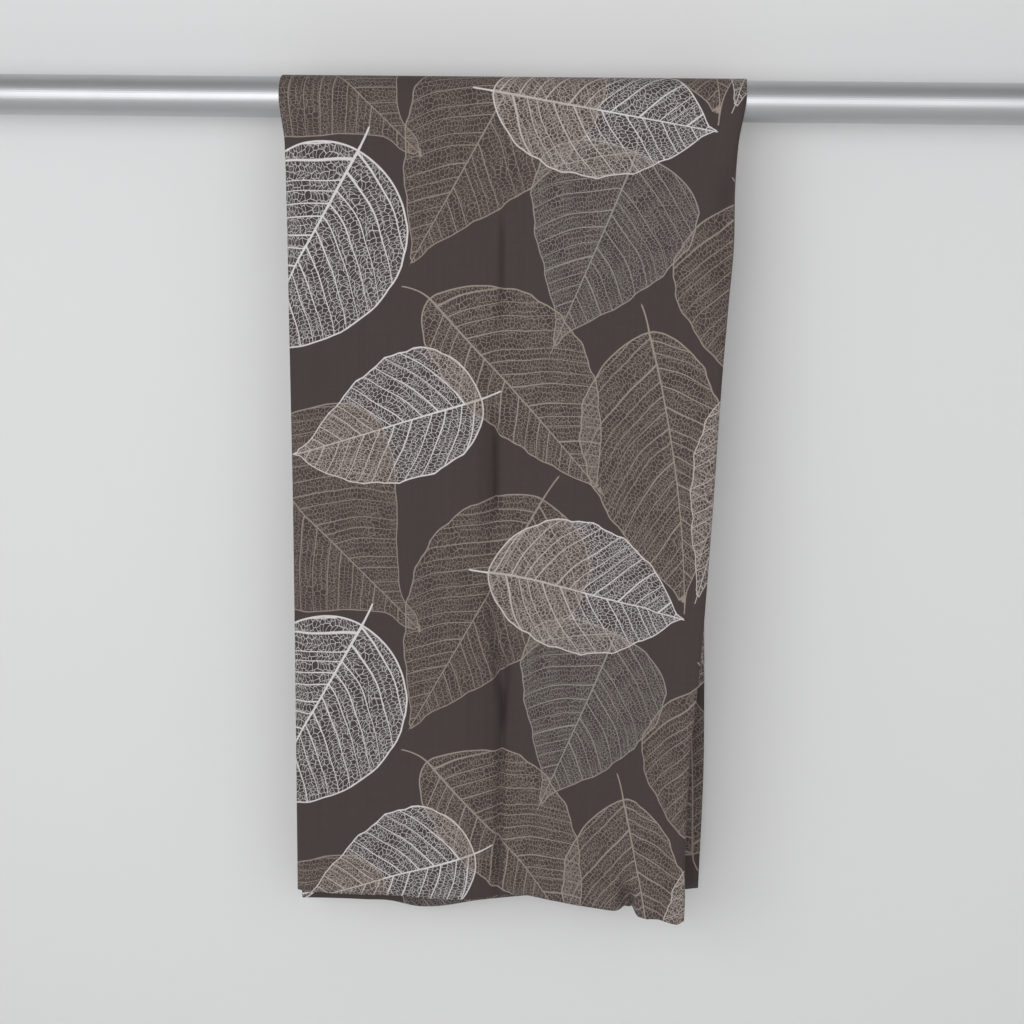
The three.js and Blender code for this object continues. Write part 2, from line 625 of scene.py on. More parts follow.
# What each leaf writes to the cloth: on corners or faces, and what is written where no leaf lies.
FAR = 99.0
BLANK = {
    "at": ("CORNER", (0.0, FAR, -FAR)),
    "growth": ("CORNER", (-9.0, 0.5, 0.5)),
    "kind": ("FACE", (0.0, 5.0, 1.0)),
    "ink": ("FACE", (0.0, 0.0, 0.0)),
}


@dataclass
class LeafPrint:
    """The repeating print. Each cloth face carries up to two dark leaves and one pale leaf."""

    across: float = 1143.0
    down: float = 610.0
    margin: float = 6.0
    slots: tuple[str, ...] = ("first", "second", "over")
    # The repeats that are tried, and how far from its middle a leaf is looked for, as a share of
    # its length.
    repeats_across: range = range(-2, 3)
    repeats_down: range = range(-4, 4)
    search: float = 1.3

    def places(self, s: Array, v: Array) -> list[LeafPlace]:
        """Lays every repeat of every leaf on the cloth.

        Args:
            s: Flat coordinate across, for each point.
            v: Flat coordinate along, for each point.

        Returns:
            One entry for each printed leaf that reaches the cloth.
        """
        found = []
        for leaf in LEAVES:
            size = leaf.length * self.search
            for i in self.repeats_across:
                for j in self.repeats_down:
                    a, b = leaf.coordinates(s - i * self.across, v - j * self.down)
                    near = (np.abs(a - leaf.length / 2) < size) & (np.abs(b) < size)
                    if not near.any():
                        continue
                    inset = np.full(a.shape, -FAR)
                    inset[near] = leaf.inset(a[near], b[near])
                    across = b - leaf.middle(a)
                    rib = leaf.rib(a)
                    # Past the ends of the stem, the reach falls off quickly.
                    reach = np.maximum(inset, np.minimum(rib, 0) * 4 - np.abs(across))
                    if reach.max() > -self.margin:
                        coordinates = np.stack([a + leaf.strays(a, b), across, inset], 1)
                        share = np.clip(a / leaf.length, 0.0, 1.0)
                        growth = np.stack([rib, leaf.lean(a), share], 1)
                        found.append(LeafPlace(leaf, coordinates, growth, reach))
        return found

    def lay_on(self, mesh: bpy.types.Mesh, s: Array, v: Array) -> None:
        """Writes the leaves that each face carries to the mesh.

        Args:
            mesh: The cloth.
            s: Flat coordinate across, for each vertex.
            v: Flat coordinate along, for each vertex.
        """
        faces = corner_points(mesh).reshape(-1, 4)
        count = len(faces)
        held = {slot: np.full(count, -np.inf) for slot in self.slots}
        values = {
            (slot, name): np.tile(blank, (count, 4 if domain == "CORNER" else 1, 1))
            for slot in self.slots
            for name, (domain, blank) in BLANK.items()
        }
        for place in self.places(s, v):
            leaf = place.leaf
            reach = place.reach[faces].max(1)
            on = reach > -self.margin
            if leaf.pale:
                choices = {"over": on & (reach > held["over"])}
            else:
                free = held["first"] == -np.inf
                choices = {"first": on & free, "second": on & ~free}
            for slot, chosen in choices.items():
                values[slot, "at"][chosen] = place.coordinates[faces[chosen]]
                values[slot, "growth"][chosen] = place.growth[faces[chosen]]
                values[slot, "kind"][chosen] = (leaf.seed, leaf.cell, leaf.weight)
                values[slot, "ink"][chosen] = leaf.ink.value
                held[slot][chosen] = reach[chosen]
        for (slot, name), value in values.items():
            made = mesh.attributes.new(f"{slot}_{name}", "FLOAT_VECTOR", BLANK[name][0])
            made.data.foreach_set("vector", value.astype(np.float32).ravel())


# ---- finishes -----------------------------------------------------------------------------------


@dataclass(frozen=True)
class VeinNet:
    """A net of fine veins between a leaf's side veins.

    reach narrows its meshes across the side veins, size is their share of the leaf's own mesh
    size, and scatter is how uneven they are, up to 1. width is the half-width of its lines, and
    heavier is what they gain with the leaf's weight.
    """

    reach: float
    size: float
    scatter: float
    width: float
    heavier: float


@dataclass(frozen=True)
class NoiseLayer:
    """One layer of noise on the flat cloth: waves per millimetre across and along, and height."""

    across: float
    along: float
    height: float


@dataclass(frozen=True)
class PrintedCotton:
    """Dark plain-weave cotton with the leaves printed on its face. Lengths are millimetres."""

    ground: Colour = (0.066, 0.0505, 0.048)
    reverse: Colour = (0.105, 0.088, 0.084)
    show_through: float = 0.10
    show_through_fade: float = 1.5
    # Over how far the edges of the blade, of plain lines and of the finest lines fade.
    body_fade: float = 0.6
    line_fade: float = 0.5
    fine_fade: float = 0.30
    # Side veins: step along the midrib, share of it that they really lie apart, its unevenness
    # and how many waves of that go into a millimetre, curve, and the share of a step by which
    # one side's are set off from the other's.
    vein_pitch: float = 21.5
    vein_apart: float = 0.8
    pitch_spread: float = 18.0
    pitch_waves: float = 0.03
    vein_curve: float = 0.0017
    vein_stagger: float = 0.42
    # Half-widths of a side vein and of the margin, and how they thin outwards and to the tip.
    vein_width: float = 0.92
    vein_thins_out: float = 0.0042
    vein_thins_on: float = 0.25
    rim_width: float = 1.1
    rim_thins_on: float = 0.35
    # The nets lie along the slant of the side veins, wander in broad waves, and arch between two
    # veins. The rungs are fainter, and come and go with the same waves.
    slant: tuple[float, float] = (0.84, 0.55)
    net_wander: float = 14.0
    wander_waves: float = 0.035
    net_arch: float = 2.0
    rung_strength: float = 0.75
    rung_cover: float = 0.75
    rung_contrast: float = 5.0
    meshes: VeinNet = VeinNet(reach=0.64, size=0.86, scatter=0.8, width=0.10, heavier=0.10)
    rungs: VeinNet = VeinNet(reach=0.34, size=0.62, scatter=0.55, width=0.075, heavier=0.05)
    # The weave: thread spacing, height, the shares of crossings and of the mottle in it, then
    # slubs of single yarns and broader streaks.
    thread: float = 0.55
    thread_height: float = 0.035
    crossing_share: float = 0.4
    mottle_share: float = 0.6
    yarns: tuple[NoiseLayer, ...] = (
        NoiseLayer(1.4, 0.09, 0.40), NoiseLayer(0.16, 0.007, 0.34), NoiseLayer(0.012, 0.42, 0.26),
    )
    crumples: tuple[NoiseLayer, ...] = (
        NoiseLayer(0.022, 0.0035, 2.2), NoiseLayer(0.075, 0.014, 0.55), NoiseLayer(0.16, 0.07, 0.2),
    )
    tint_depth: float = 0.25
    roughness: float = 0.82
    roughness_spread: float = 0.12
    specular: float = 0.25
    sheen: float = 0.06
    sheen_roughness: float = 0.6

    def net(self, w: Wiring, at: tuple, cell: object, weight: object, kind: VeinNet) -> object:
        """Draws a net of fine veins.

        Args:
            w: The group's wiring.
            at: Place across the side veins, and along them.
            cell: The leaf's own mesh size.
            weight: The leaf's weight of line.
            kind: The net's proportions.

        Returns:
            Mask of its lines.
        """
        size = w.math("MULTIPLY", cell, kind.size)
        made = w.node("ShaderNodeTexVoronoi", voronoi_dimensions="2D", feature="DISTANCE_TO_EDGE")
        place = w.vector(w.math("MULTIPLY", at[0], kind.reach), at[1])
        scale = w.math("DIVIDE", 1.0, size)
        found = w.feed(made, {"Vector": place, "Scale": scale, "Randomness": kind.scatter})
        distance = w.math("MULTIPLY", found["Distance"], size)
        half_width = w.math("MULTIPLY_ADD", weight, kind.heavier, kind.width)
        return w.line(half_width, distance, self.fine_fade)

    def layered(self, w: Wiring, s: object, v: object, layers: tuple, detail: float) -> object:
        """Adds up layers of noise on the flat cloth.

        Args:
            w: The group's wiring.
            s: Flat coordinate across.
            v: Flat coordinate along.
            layers: The layers.
            detail: How many finer layers each of them has.

        Returns:
            Their sum.
        """
        total = 0.0
        for layer in layers:
            found = w.noise(w.stretched((s, v), (layer.across, layer.along)), detail)
            total = w.math("MULTIPLY_ADD", found, layer.height, total)
        return total

    def leaf_group(self) -> Tree:
        """Node group that draws the veins of one skeleton leaf.

        Returns:
            A group that takes a leaf's coordinates, growth and kind, and gives masks of its
            drawn lines and of its whole body.
        """
        group, w, given, result = new_group(
            "skeleton leaf",
            {"At": "Vector", "Growth": "Vector", "Kind": "Vector"},
            {"Lines": "Float", "Body": "Float"},
        )
        a, b, inset = w.parts(given.outputs["At"])
        rib_width, lean, share = w.parts(given.outputs["Growth"])
        seed, cell, weight = w.parts(given.outputs["Kind"])
        off = w.math("ABSOLUTE", b)
        side = w.math("GREATER_THAN", b, 0.0)
        body = w.line(inset, 0.0, self.body_fade)
        # Veins run forward from the midrib in a slight curve: lane is constant along each.
        bend = w.math("MULTIPLY_ADD", off, self.vein_curve, lean)
        lane = w.math("SUBTRACT", a, w.math("MULTIPLY", off, bend))
        # The plain offsets here and below only keep the sides, and the leaves, from matching.
        along_step = w.math("MULTIPLY", lane, self.pitch_waves)
        spot = w.vector(along_step, w.math("MULTIPLY_ADD", side, 7.0, seed))
        spaced = w.math("MULTIPLY_ADD", w.noise(spot, detail=0.0), self.pitch_spread, lane)
        shifted = w.math("MULTIPLY_ADD", side, self.vein_stagger * self.vein_pitch, spaced)
        turn = w.math("FRACT", w.math("MULTIPLY_ADD", shifted, 1 / self.vein_pitch, 40.0))
        gap = w.math("ABSOLUTE", w.math("SUBTRACT", turn, 0.5))
        gap = w.math("MULTIPLY", w.math("SUBTRACT", 0.5, gap), self.vein_apart * self.vein_pitch)
        thin = w.math("MULTIPLY_ADD", off, -self.vein_thins_out, self.vein_width)
        thin = w.math("MULTIPLY_ADD", share, -self.vein_thins_on, thin)
        veins = w.line(w.math("MULTIPLY", thin, weight), gap, self.line_fade)
        # The net between the veins: many-sided meshes, crossed in places by finer rungs that
        # run from vein to vein.
        over, on = self.slant
        x = w.math("MULTIPLY_ADD", seed, 31.0, w.math("MULTIPLY", lane, over))
        onward = w.math("MULTIPLY_ADD", a, on, w.math("MULTIPLY", off, over))
        y = w.math("MULTIPLY_ADD", side, 60.0, onward)
        wave = w.noise(w.vector(x, y), detail=1.0, scale=self.wander_waves)
        wave = w.math("SUBTRACT", wave, 0.5)
        y = w.math("MULTIPLY_ADD", wave, self.net_wander, y)
        arch = w.math("SINE", w.math("MULTIPLY", turn, math.pi))
        y = w.math("MULTIPLY_ADD", arch, self.net_arch, y)
        mesh = self.net(w, (x, y), cell, weight, self.meshes)
        rung = self.net(w, (x, y), cell, weight, self.rungs)
        some = w.math("MULTIPLY_ADD", wave, self.rung_contrast, self.rung_cover, clamp=True)
        rung = w.math("MULTIPLY", w.math("MULTIPLY", rung, some), self.rung_strength)
        mesh = w.math("MAXIMUM", mesh, rung)
        inner = w.math("MULTIPLY", w.math("MAXIMUM", veins, mesh), body)
        thin = w.math("MULTIPLY_ADD", share, -self.rim_thins_on, self.rim_width)
        distance = w.math("ABSOLUTE", inset)
        rim = w.line(w.math("MULTIPLY", weight, thin), distance, self.line_fade)
        rib = w.line(rib_width, off, self.line_fade)
        lines = w.math("MAXIMUM", w.math("MAXIMUM", inner, rim), rib)
        w.feed(result, {"Lines": lines, "Body": body})
        return group

    def weave_group(self) -> Tree:
        """Node group of the plain weave.

        Returns:
            A group that takes flat coordinates in millimetres and gives the height of the
            threads and a mottle that varies from yarn to yarn.
        """
        group, w, given, result = new_group(
            "plain weave", {"Flat": "Vector"}, {"Height": "Float", "Mottle": "Float"}
        )
        s, v, _ = w.parts(given.outputs["Flat"])
        per_mm = 2 * math.pi / self.thread
        waves = [w.math("SINE", w.math("MULTIPLY", value, per_mm)) for value in (s, v)]
        mottle = self.layered(w, s, v, self.yarns, detail=2.0)
        threads = w.math("MULTIPLY", w.math("MULTIPLY", *waves), self.crossing_share)
        height = w.math("MULTIPLY_ADD", mottle, self.mottle_share, threads)
        w.feed(result, {"Height": height, "Mottle": mottle})
        return group

    def crumple_group(self) -> Tree:
        """Node group of the slight crumples left in washed cloth, longest down its length.

        Returns:
            A group that takes flat coordinates in millimetres and gives a height in
            millimetres.
        """
        group, w, given, result = new_group("crumples", {"Flat": "Vector"}, {"Height": "Float"})
        s, v, _ = w.parts(given.outputs["Flat"])
        w.feed(result, {"Height": self.layered(w, s, v, self.crumples, detail=1.0)})
        return group

    def shared(
        self, w: Wiring, shader: bpy.types.Node, weave: Tree,
        crumples: Tree,
    ) -> object:
        """Adds the weave and the crumples to a cloth material.

        Args:
            w: The material's wiring.
            shader: Its Principled BSDF.
            weave: The weave's node group.
            crumples: The crumples' node group.

        Returns:
            The mottle of the yarns.
        """
        flat = w.node("ShaderNodeUVMap", uv_map="flat").outputs["UV"]
        threads = w.use(weave, Flat=flat)
        creased = w.use(crumples, Flat=flat)
        height = w.math("MULTIPLY_ADD", threads["Height"], self.thread_height, creased["Height"])
        rough = w.math("MULTIPLY_ADD", threads["Mottle"], self.roughness_spread, self.roughness)
        w.feed(shader, {
            "Normal": w.bump(height, strength=1.0, unit=MM),
            "Roughness": rough,
            "Specular IOR Level": self.specular,
            "Sheen Weight": self.sheen,
            "Sheen Roughness": self.sheen_roughness,
        })
        return threads["Mottle"]

    def tinted(self, w: Wiring, colour: object, mottle: object) -> object:
        """Varies a colour with the mottle of the yarns.

        Args:
            w: The material's wiring.
            colour: The colour to vary.
            mottle: The mottle, about 0.5 on average.

        Returns:
            The varied colour.
        """
        light = w.math("MULTIPLY_ADD", mottle, 2 * self.tint_depth, 1 - self.tint_depth)
        made = w.node("ShaderNodeVectorMath", colour, operation="SCALE")
        return w.feed(made, {"Scale": light})[0]

    def materials(self) -> tuple[bpy.types.Material, bpy.types.Material]:
        """Builds the cloth's materials.

        Returns:
            The printed face and the reverse.
        """
        leaf, weave, crumples = self.leaf_group(), self.weave_group(), self.crumple_group()
        face, w, shader = new_material("printed cotton face")
        mottle = self.shared(w, shader, weave, crumples)
        colour, bodies = self.ground, []
        for slot in LeafPrint.slots:
            at, growth, kind, ink = (w.attribute(f"{slot}_{name}") for name in BLANK)
            drawn = w.use(leaf, At=at, Growth=growth, Kind=kind)
            if slot == "over":
                # Where it lies over a dark leaf, a pale one prints duller.
                under = w.math("MAXIMUM", bodies[0], bodies[1])
                ink = w.mix(w.math("MULTIPLY", under, drawn["Body"]), ink, Ink.TAN.value)
            colour = w.mix(drawn["Lines"], colour, ink)
            bodies.append(drawn["Body"])
        w.join(self.tinted(w, colour, mottle), shader.inputs["Base Color"])

        back, w, shader = new_material("cotton reverse")
        mottle = self.shared(w, shader, weave, crumples)
        colour = self.reverse
        for slot in LeafPrint.slots:
            _, _, inset = w.parts(w.attribute(f"{slot}_at"))
            body = w.line(inset, 0.0, self.show_through_fade)
            ghost = w.math("MULTIPLY", body, self.show_through)
            colour = w.mix(ghost, colour, w.attribute(f"{slot}_ink"))
        w.join(self.tinted(w, colour, mottle), shader.inputs["Base Color"])
        return face, back


@dataclass(frozen=True)
class SatinTube:
    """Satin aluminium of the rod, drawn lengthwise, with faint streaks and handling marks."""

    colour: Colour = (0.535, 0.54, 0.55)
    shade: Colour = (0.485, 0.49, 0.50)
    roughness: float = 0.38
    # Waves per metre along each axis, and in the handling marks.
    streaks: tuple[float, float, float] = (3.0, 900.0, 900.0)
    marks: float = 9.0
    # What streaks and marks add to the roughness, and how strongly the streaks stand out.
    grain: float = 0.10
    handled: float = 0.08
    relief: float = 0.08

    def material(self) -> bpy.types.Material:
        """Builds the rod's material.

        Returns:
            The material.
        """
        material, w, shader = new_material("satin aluminium tube")
        here = w.node("ShaderNodeTexCoord").outputs["Object"]
        streaks = w.noise(w.stretched(w.parts(here), self.streaks), detail=3.0, dimensions="3D")
        marks = w.noise(here, detail=4.0, scale=self.marks, dimensions="3D")
        grain = w.math("MULTIPLY_ADD", streaks, self.grain, self.roughness - self.grain / 2)
        w.feed(shader, {
            "Base Color": w.mix(marks, self.colour, self.shade),
            "Roughness": w.math("MULTIPLY_ADD", marks, self.handled, grain),
            "Normal": w.bump(streaks, strength=self.relief, unit=0.1 * MM),
            "Metallic": 1.0,
        })
        return material


# ---- the draped cloth ---------------------------------------------------------------------------


@dataclass(frozen=True)
class HemPoint:
    """A place along a hem: s across the folded cloth, and drop from the rod's axis."""

    s: float
    drop: float


@dataclass(frozen=True)
class Swell:
    """A broad wave of a half at its hem, or a hollow where its height is negative."""

    s: float
    height: float
    width: float


@dataclass(frozen=True)
class HemPlan:
    """How far one half stands away from the rod at its hem.

    It stands out evenly and waves in broad swells. From s = flare_from it also flares out, until
    its free edges stand out further by flare.
    """

    stand: float
    swells: tuple[Swell, ...]
    flare: float = 0.0
    flare_from: float = 380.0
    flare_power: float = 1.2

    def out(self, s: Array, width: float) -> Array:
        """Swing away from the rod.

        Args:
            s: Distances across the folded cloth.
            width: Width of the folded cloth.

        Returns:
            The swing at each s.
        """
        t = np.maximum(s - self.flare_from, 0.0) / (width - self.flare_from)
        out = self.stand + self.flare * t**self.flare_power
        for swell in self.swells:
            out = out + swell.height * bell(s, swell.s, swell.width)
        return out


@dataclass(frozen=True)
class Crease:
    """A soft trough, or a ridge where its depth is negative, that runs down the cloth.

    lean is how far it moves across for each millimetre of drop, measured from its top, and fade
    is the length over which each end dies out.
    """

    s: float
    top: float
    bottom: float
    depth: float
    width: float
    lean: float = 0.0
    fade: float = 160.0


@dataclass(frozen=True)
class Gather:
    """How the cloth has drawn in at a share of the way down to its hem.

    shift is how far its long fold has moved along +X, ease is the share of its width that fine
    ripples take up, and edge is how much further along +X its free edges lie.
    """

    fall: float
    shift: float
    ease: float
    edge: float


@dataclass(frozen=True)
class HangingHalf:
    """One half of the cloth. rows divide it down to its hem, and fall is its flat length."""

    plan: HemPlan
    hem: tuple[HemPoint, ...]
    creases: tuple[Crease, ...]
    gathers: tuple[Gather, ...]
    rows: int
    fall: float


FRONT_PLAN = HemPlan(stand=6, swells=(Swell(200, 8, 60), Swell(308, -19, 46)), flare=62)
BACK_PLAN = HemPlan(stand=0, swells=(Swell(175, -15, 70), Swell(360, 8, 60), Swell(520, -4, 35)))
FRONT_HEM = tuple(HemPoint(*row) for row in (
    (0, 1044), (20, 1047.5), (90, 1048), (150, 1046), (215, 1047), (275, 1048), (338, 1045),
    (400, 1048), (450, 1047), (466, 1046), (480, 1044), (490, 1044), (500, 1047), (530, 1046),
    (560, 1047), (571.5, 1040),
))
BACK_HEM = tuple(HemPoint(*row) for row in (
    (0, 1080), (90, 1078), (132, 1075), (196, 1079), (260, 1072), (360, 1063), (460, 1053),
    (520, 1048), (571.5, 1042),
))
FRONT_CREASES = (
    # The long central trough, with the sharper lines in it.
    Crease(283, 120, 1010, 5, 20, lean=0.006, fade=200),
    Crease(276, 120, 310, 6.5, 3.6, fade=60),
    Crease(264, 310, 600, 7.5, 11, lean=0.01, fade=100),
    Crease(270, 380, 560, 8.5, 4.0, lean=0.01, fade=60),
    Crease(262, 600, 810, 9.5, 5.5, lean=0.13, fade=60),
    Crease(294, 690, 840, 8.0, 5, lean=-0.05, fade=50),
    Crease(283, 740, 830, 4.0, 4.0, lean=0.05, fade=30),
    Crease(287, 770, 1080, 10.0, 6, fade=90),
    Crease(296, 380, 560, -2.5, 9, fade=70),
    Crease(322, 380, 520, 3.0, 6, fade=50),
    Crease(226, 440, 500, 2.2, 6, fade=30),
    Crease(312, 560, 860, -2.5, 10, fade=110),
    # By the free edges.
    Crease(562, 50, 320, 10.5, 7, fade=60),
    Crease(520, 100, 420, -2.5, 14, fade=120),
    Crease(480, 120, 700, -2.5, 26),
    Crease(495, 640, 800, 3, 10, fade=60),
    Crease(535, 600, 1300, 3, 9, fade=150),
    # By the long fold, and slighter ones elsewhere.
    Crease(190, 200, 1000, 2.5, 20, fade=240),
    Crease(66, 880, 960, 3.0, 6, lean=0.1, fade=40),
    Crease(40, 830, 1300, 2.5, 9, lean=-0.03, fade=60),
    Crease(22, 30, 900, -2.0, 12, fade=120),
    Crease(120, 100, 520, -2.0, 22),
    Crease(385, 300, 1100, 2.5, 20, fade=240),
    # The pinch at the front hem.
    Crease(474, 970, 1300, 20, 9, lean=0.08, fade=70),
    Crease(484, 1006, 1300, 21, 5.5, lean=0.2, fade=30),
    Crease(508, 1000, 1300, -4, 9, lean=0.1, fade=40),
)
BACK_CREASES = (
    Crease(150, 180, 1300, 5, 24, lean=0.02, fade=220),
    Crease(268, 90, 900, -6, 20, fade=200),
    Crease(350, 300, 1300, 4, 16, fade=200),
    Crease(430, 150, 1300, -5, 30, lean=-0.02, fade=220),
    Crease(520, 400, 1300, 4, 14),
    Crease(60, 60, 620, 4, 18),
)
FRONT_GATHERS = tuple(Gather(*row) for row in (
    (0, 0, 0, 0), (0.05, 2.0, 0.005, -4), (0.1, 3.4, 0.0085, -5.8), (0.17, 4.6, 0.0135, -3.2),
    (0.25, 5.4, 0.0187, -5.4), (0.38, 7.0, 0.0255, -8), (0.5, 8.4, 0.0315, -9),
    (0.62, 9.0, 0.037, -10), (0.735, 9.4, 0.040, -14.2), (0.78, 9.5, 0.042, -16.4),
    (0.84, 9.6, 0.044, -15.4), (0.92, 9.7, 0.047, -13), (0.976, 9.8, 0.049, -8.2),
    (1, 9.8, 0.050, -7.4),
))
BACK_GATHERS = tuple(Gather(*row) for row in (
    (0, 0, 0, 0), (0.12, 2.5, 0.016, 0), (0.35, 4, 0.034, -1), (0.6, 4, 0.050, -1.5),
    (0.72, 4, 0.0445, -0.8), (0.85, 4, 0.040, 0), (1, 4, 0.043, 0.4),
))


@dataclass
class DrapedCloth:
    """The cloth: one thin sheet on the folds in which it hangs."""

    sheet: float = 0.5
    ply_gap: float = 1.1
    wrap_radius: float = 26.7
    folded_width: float = 571.5
    left_edge: float = -291.0
    wrap_rows: int = 18
    turn_columns: int = 8
    # How the long fold fills out once the cloth hangs free of the rod.
    loft: float = 2.6
    loft_reach: float = 70.0
    loft_settles: float = 110.0
    fold_round: float = 12.0
    # About how far each half hangs, and the sine of the steepest slope across it.
    half_drop: float = 1050.0
    steepest: float = 0.94
    # Over the rod, the edges roll out a little. Below, the free edges are drawn in.
    fold_roll: float = 5.0
    edge_roll: float = 3.5
    roll_reach: float = 30.0
    roll_settles: float = 60.0
    drawn_from: float = 400.0
    drawn_over: float = 170.0
    # Runs of columns across one ply: where each ends, and how many it has.
    column_runs: tuple[tuple[float, int], ...] = (
        (30, 6), (258, 24), (304, 24), (440, 15), (466, 5), (506, 15), (571.5, 7),
    )
    front: HangingHalf = HangingHalf(
        FRONT_PLAN, FRONT_HEM, FRONT_CREASES, FRONT_GATHERS, rows=146, fall=1048
    )
    back: HangingHalf = HangingHalf(
        BACK_PLAN, BACK_HEM, BACK_CREASES, BACK_GATHERS, rows=80, fall=1062
    )

    def ply_columns(self) -> Array:
        """Spaces the columns of one ply, closest where the creases are sharpest.

        Returns:
            Their distances from the long fold.
        """
        runs, start = [np.zeros(1)], 0.0
        for end, count in self.column_runs:
            runs.append(np.linspace(start, end, count + 1)[1:])
            start = end
        return np.concatenate(runs)

    def columns(self) -> tuple[Array, Array]:
        """Section of the folded cloth.

        Returns:
            Distance from the fold, and turn round it, from the free edge of the ply nearer the
            rod (turn -90 degrees) to that of the outer ply (turn +90).
        """
        ply = self.ply_columns()
        turn = np.linspace(-math.pi / 2, math.pi / 2, self.turn_columns + 1)
        s = np.concatenate([ply[:0:-1], np.zeros(len(turn)), ply[1:]])
        side = np.full(len(ply) - 1, math.pi / 2)
        return s, np.concatenate([-side, turn, side])

    def middle_lines(self, half: HangingHalf, fall: Array) -> tuple[Array, ...]:
        """Middle line between the plies, at each station of one half.

        Args:
            half: The half of the cloth.
            fall: Share of the way down to the hem, for each station.

        Returns:
            The samples' distances from the fold, then x, swing, drop and slope at each.
        """
        s = np.linspace(0.0, self.folded_width, math.ceil(self.folded_width))
        shift, ease, edge = (
            along(half.gathers, column, fall, "fall")[:, None]
            for column in ("shift", "ease", "edge")
        )
        fall = fall[:, None]
        drop = fall * along(half.hem, "drop", s)
        out = fall * half.plan.out(s, self.folded_width)
        # The broad swing draws the cloth in; what the creases take up is part of the ease.
        swing = np.gradient(out, s, axis=1)
        for crease in half.creases:
            centre = crease.s + crease.lean * (drop - crease.top)
            reach = smooth((drop - crease.top) / crease.fade)
            reach = reach * smooth((crease.bottom - drop) / crease.fade)
            out = out - crease.depth * reach * bell(s, centre, crease.width)
        slope = np.clip(np.gradient(out, s, axis=1), -self.steepest, self.steepest)
        run = np.sqrt(1 - np.clip(swing, -self.steepest, self.steepest) ** 2) * (1 - ease)
        steps = (run[:, 1:] + run[:, :-1]) / 2 * np.diff(s)
        x = np.concatenate([np.zeros_like(fall), np.cumsum(steps, axis=1)], axis=1)
        near_rod = 1 - smooth(fall * self.half_drop / self.roll_settles)
        roll = self.edge_roll * np.exp((s - self.folded_width) / self.roll_reach)
        roll = roll - self.fold_roll * np.exp(-s / self.roll_reach)
        drawn = edge * smooth((s - self.drawn_from) / self.drawn_over)
        return s, x + self.left_edge + shift + drawn + near_rod * roll, out, drop, slope

    def stations(self) -> tuple[Array, Array]:
        """Lines across the cloth, from the front hem over the rod to the back hem.

        Returns:
            Angle over the rod, and share of the way down to the hem, of each station.
        """
        down = np.linspace(1.0, 0.0, self.front.rows + 1)[:-1]
        over = np.linspace(-math.pi / 2, math.pi / 2, self.wrap_rows + 1)
        behind = np.linspace(0.0, 1.0, self.back.rows + 1)[1:]
        wrap = np.concatenate([np.full(len(down), over[0]), over, np.full(len(behind), over[-1])])
        return wrap, np.concatenate([down, np.zeros(len(over)), behind])

    def flat_along(self, wrap: Array, fall: Array) -> Array:
        """Flat coordinate v of each station."""
        front = np.where(wrap < 0, fall * self.front.fall, -fall * self.back.fall)
        return front - wrap * self.wrap_radius

    def surface(self) -> tuple[Array, Array, Array]:
        """Places of all the sheet's points.

        Returns:
            Points as an array of stations by columns by xyz, in metres, and the flat
            coordinates s and v of each, in millimetres.
        """
        wrap, fall = self.stations()
        s, turn = self.columns()
        free = smooth(fall * self.half_drop / self.loft_settles)[:, None]
        radius = self.ply_gap / 2 + self.loft * free * np.exp(-s / self.loft_reach)
        lift = radius * (1 - np.cos(turn)) * np.exp(-s / self.fold_round)
        n = radius * np.sin(turn)
        found = np.zeros((4, len(wrap), len(s)))
        for half, rows in ((self.front, wrap < 0), (self.back, wrap >= 0)):
            at, *lines = self.middle_lines(half, fall[rows])
            for k, line in enumerate(lines):
                found[k][rows] = [np.interp(s, at, row) for row in line]
        x, out, drop, slope = found
        run = np.sqrt(1 - slope**2)
        away = self.wrap_radius + out + n * run + lift * slope
        angle = wrap[:, None]
        points = np.stack(
            [x + lift * run - n * slope, away * np.sin(angle), away * np.cos(angle) - drop], -1
        )
        # Round the fold, the flat coordinate follows the turn.
        arc = radius * math.pi / 2
        share = s * (self.folded_width - arc) / self.folded_width
        flat_s = np.sign(turn) * share + radius * turn
        flat_v = np.repeat(self.flat_along(wrap, fall)[:, None], len(s), axis=1)
        return points * MM, flat_s, flat_v

    def build(self) -> bpy.types.Object:
        """Makes the sheet: a flat grid laid on the folds, then given its thickness.

        Returns:
            The cloth.
        """
        points, flat_s, flat_v = self.surface()
        rows, columns = flat_s.shape
        mesh = bpy.data.meshes.new("draped_cloth")
        bm = bmesh.new()
        bmesh.ops.create_grid(bm, x_segments=columns - 1, y_segments=rows - 1, size=0.5)
        for vert in bm.verts:
            column = round((vert.co.x + 0.5) * (columns - 1))
            row = round((vert.co.y + 0.5) * (rows - 1))
            vert.co = points[row, column]
        bm.to_mesh(mesh)
        bm.free()
        # create_grid numbers its vertices row by row, so the flat coordinates follow suit.
        s, v = flat_s.ravel(), flat_v.ravel()
        places = np.stack([s, v], 1)[corner_points(mesh)].astype(np.float32)
        mesh.uv_layers.new(name="flat").uv.foreach_set("vector", places.ravel())
        LeafPrint().lay_on(mesh, s, v)
        mesh.polygons.foreach_set("use_smooth", [True] * len(mesh.polygons))
        cloth = add_object("draped_cloth", mesh)
        shell = cloth.modifiers.new("thickness", "SOLIDIFY")
        shell.thickness = self.sheet * MM
        shell.offset = 0.0
        shell.material_offset = 1
        shell.material_offset_rim = 1
        return cloth

    def dress(self, cloth: bpy.types.Object) -> None:
        """Gives the cloth its printed face and its reverse."""
        for material in PrintedCotton().materials():
            cloth.data.materials.append(material)


# ---- the viewing stage --------------------------------------------------------------------------


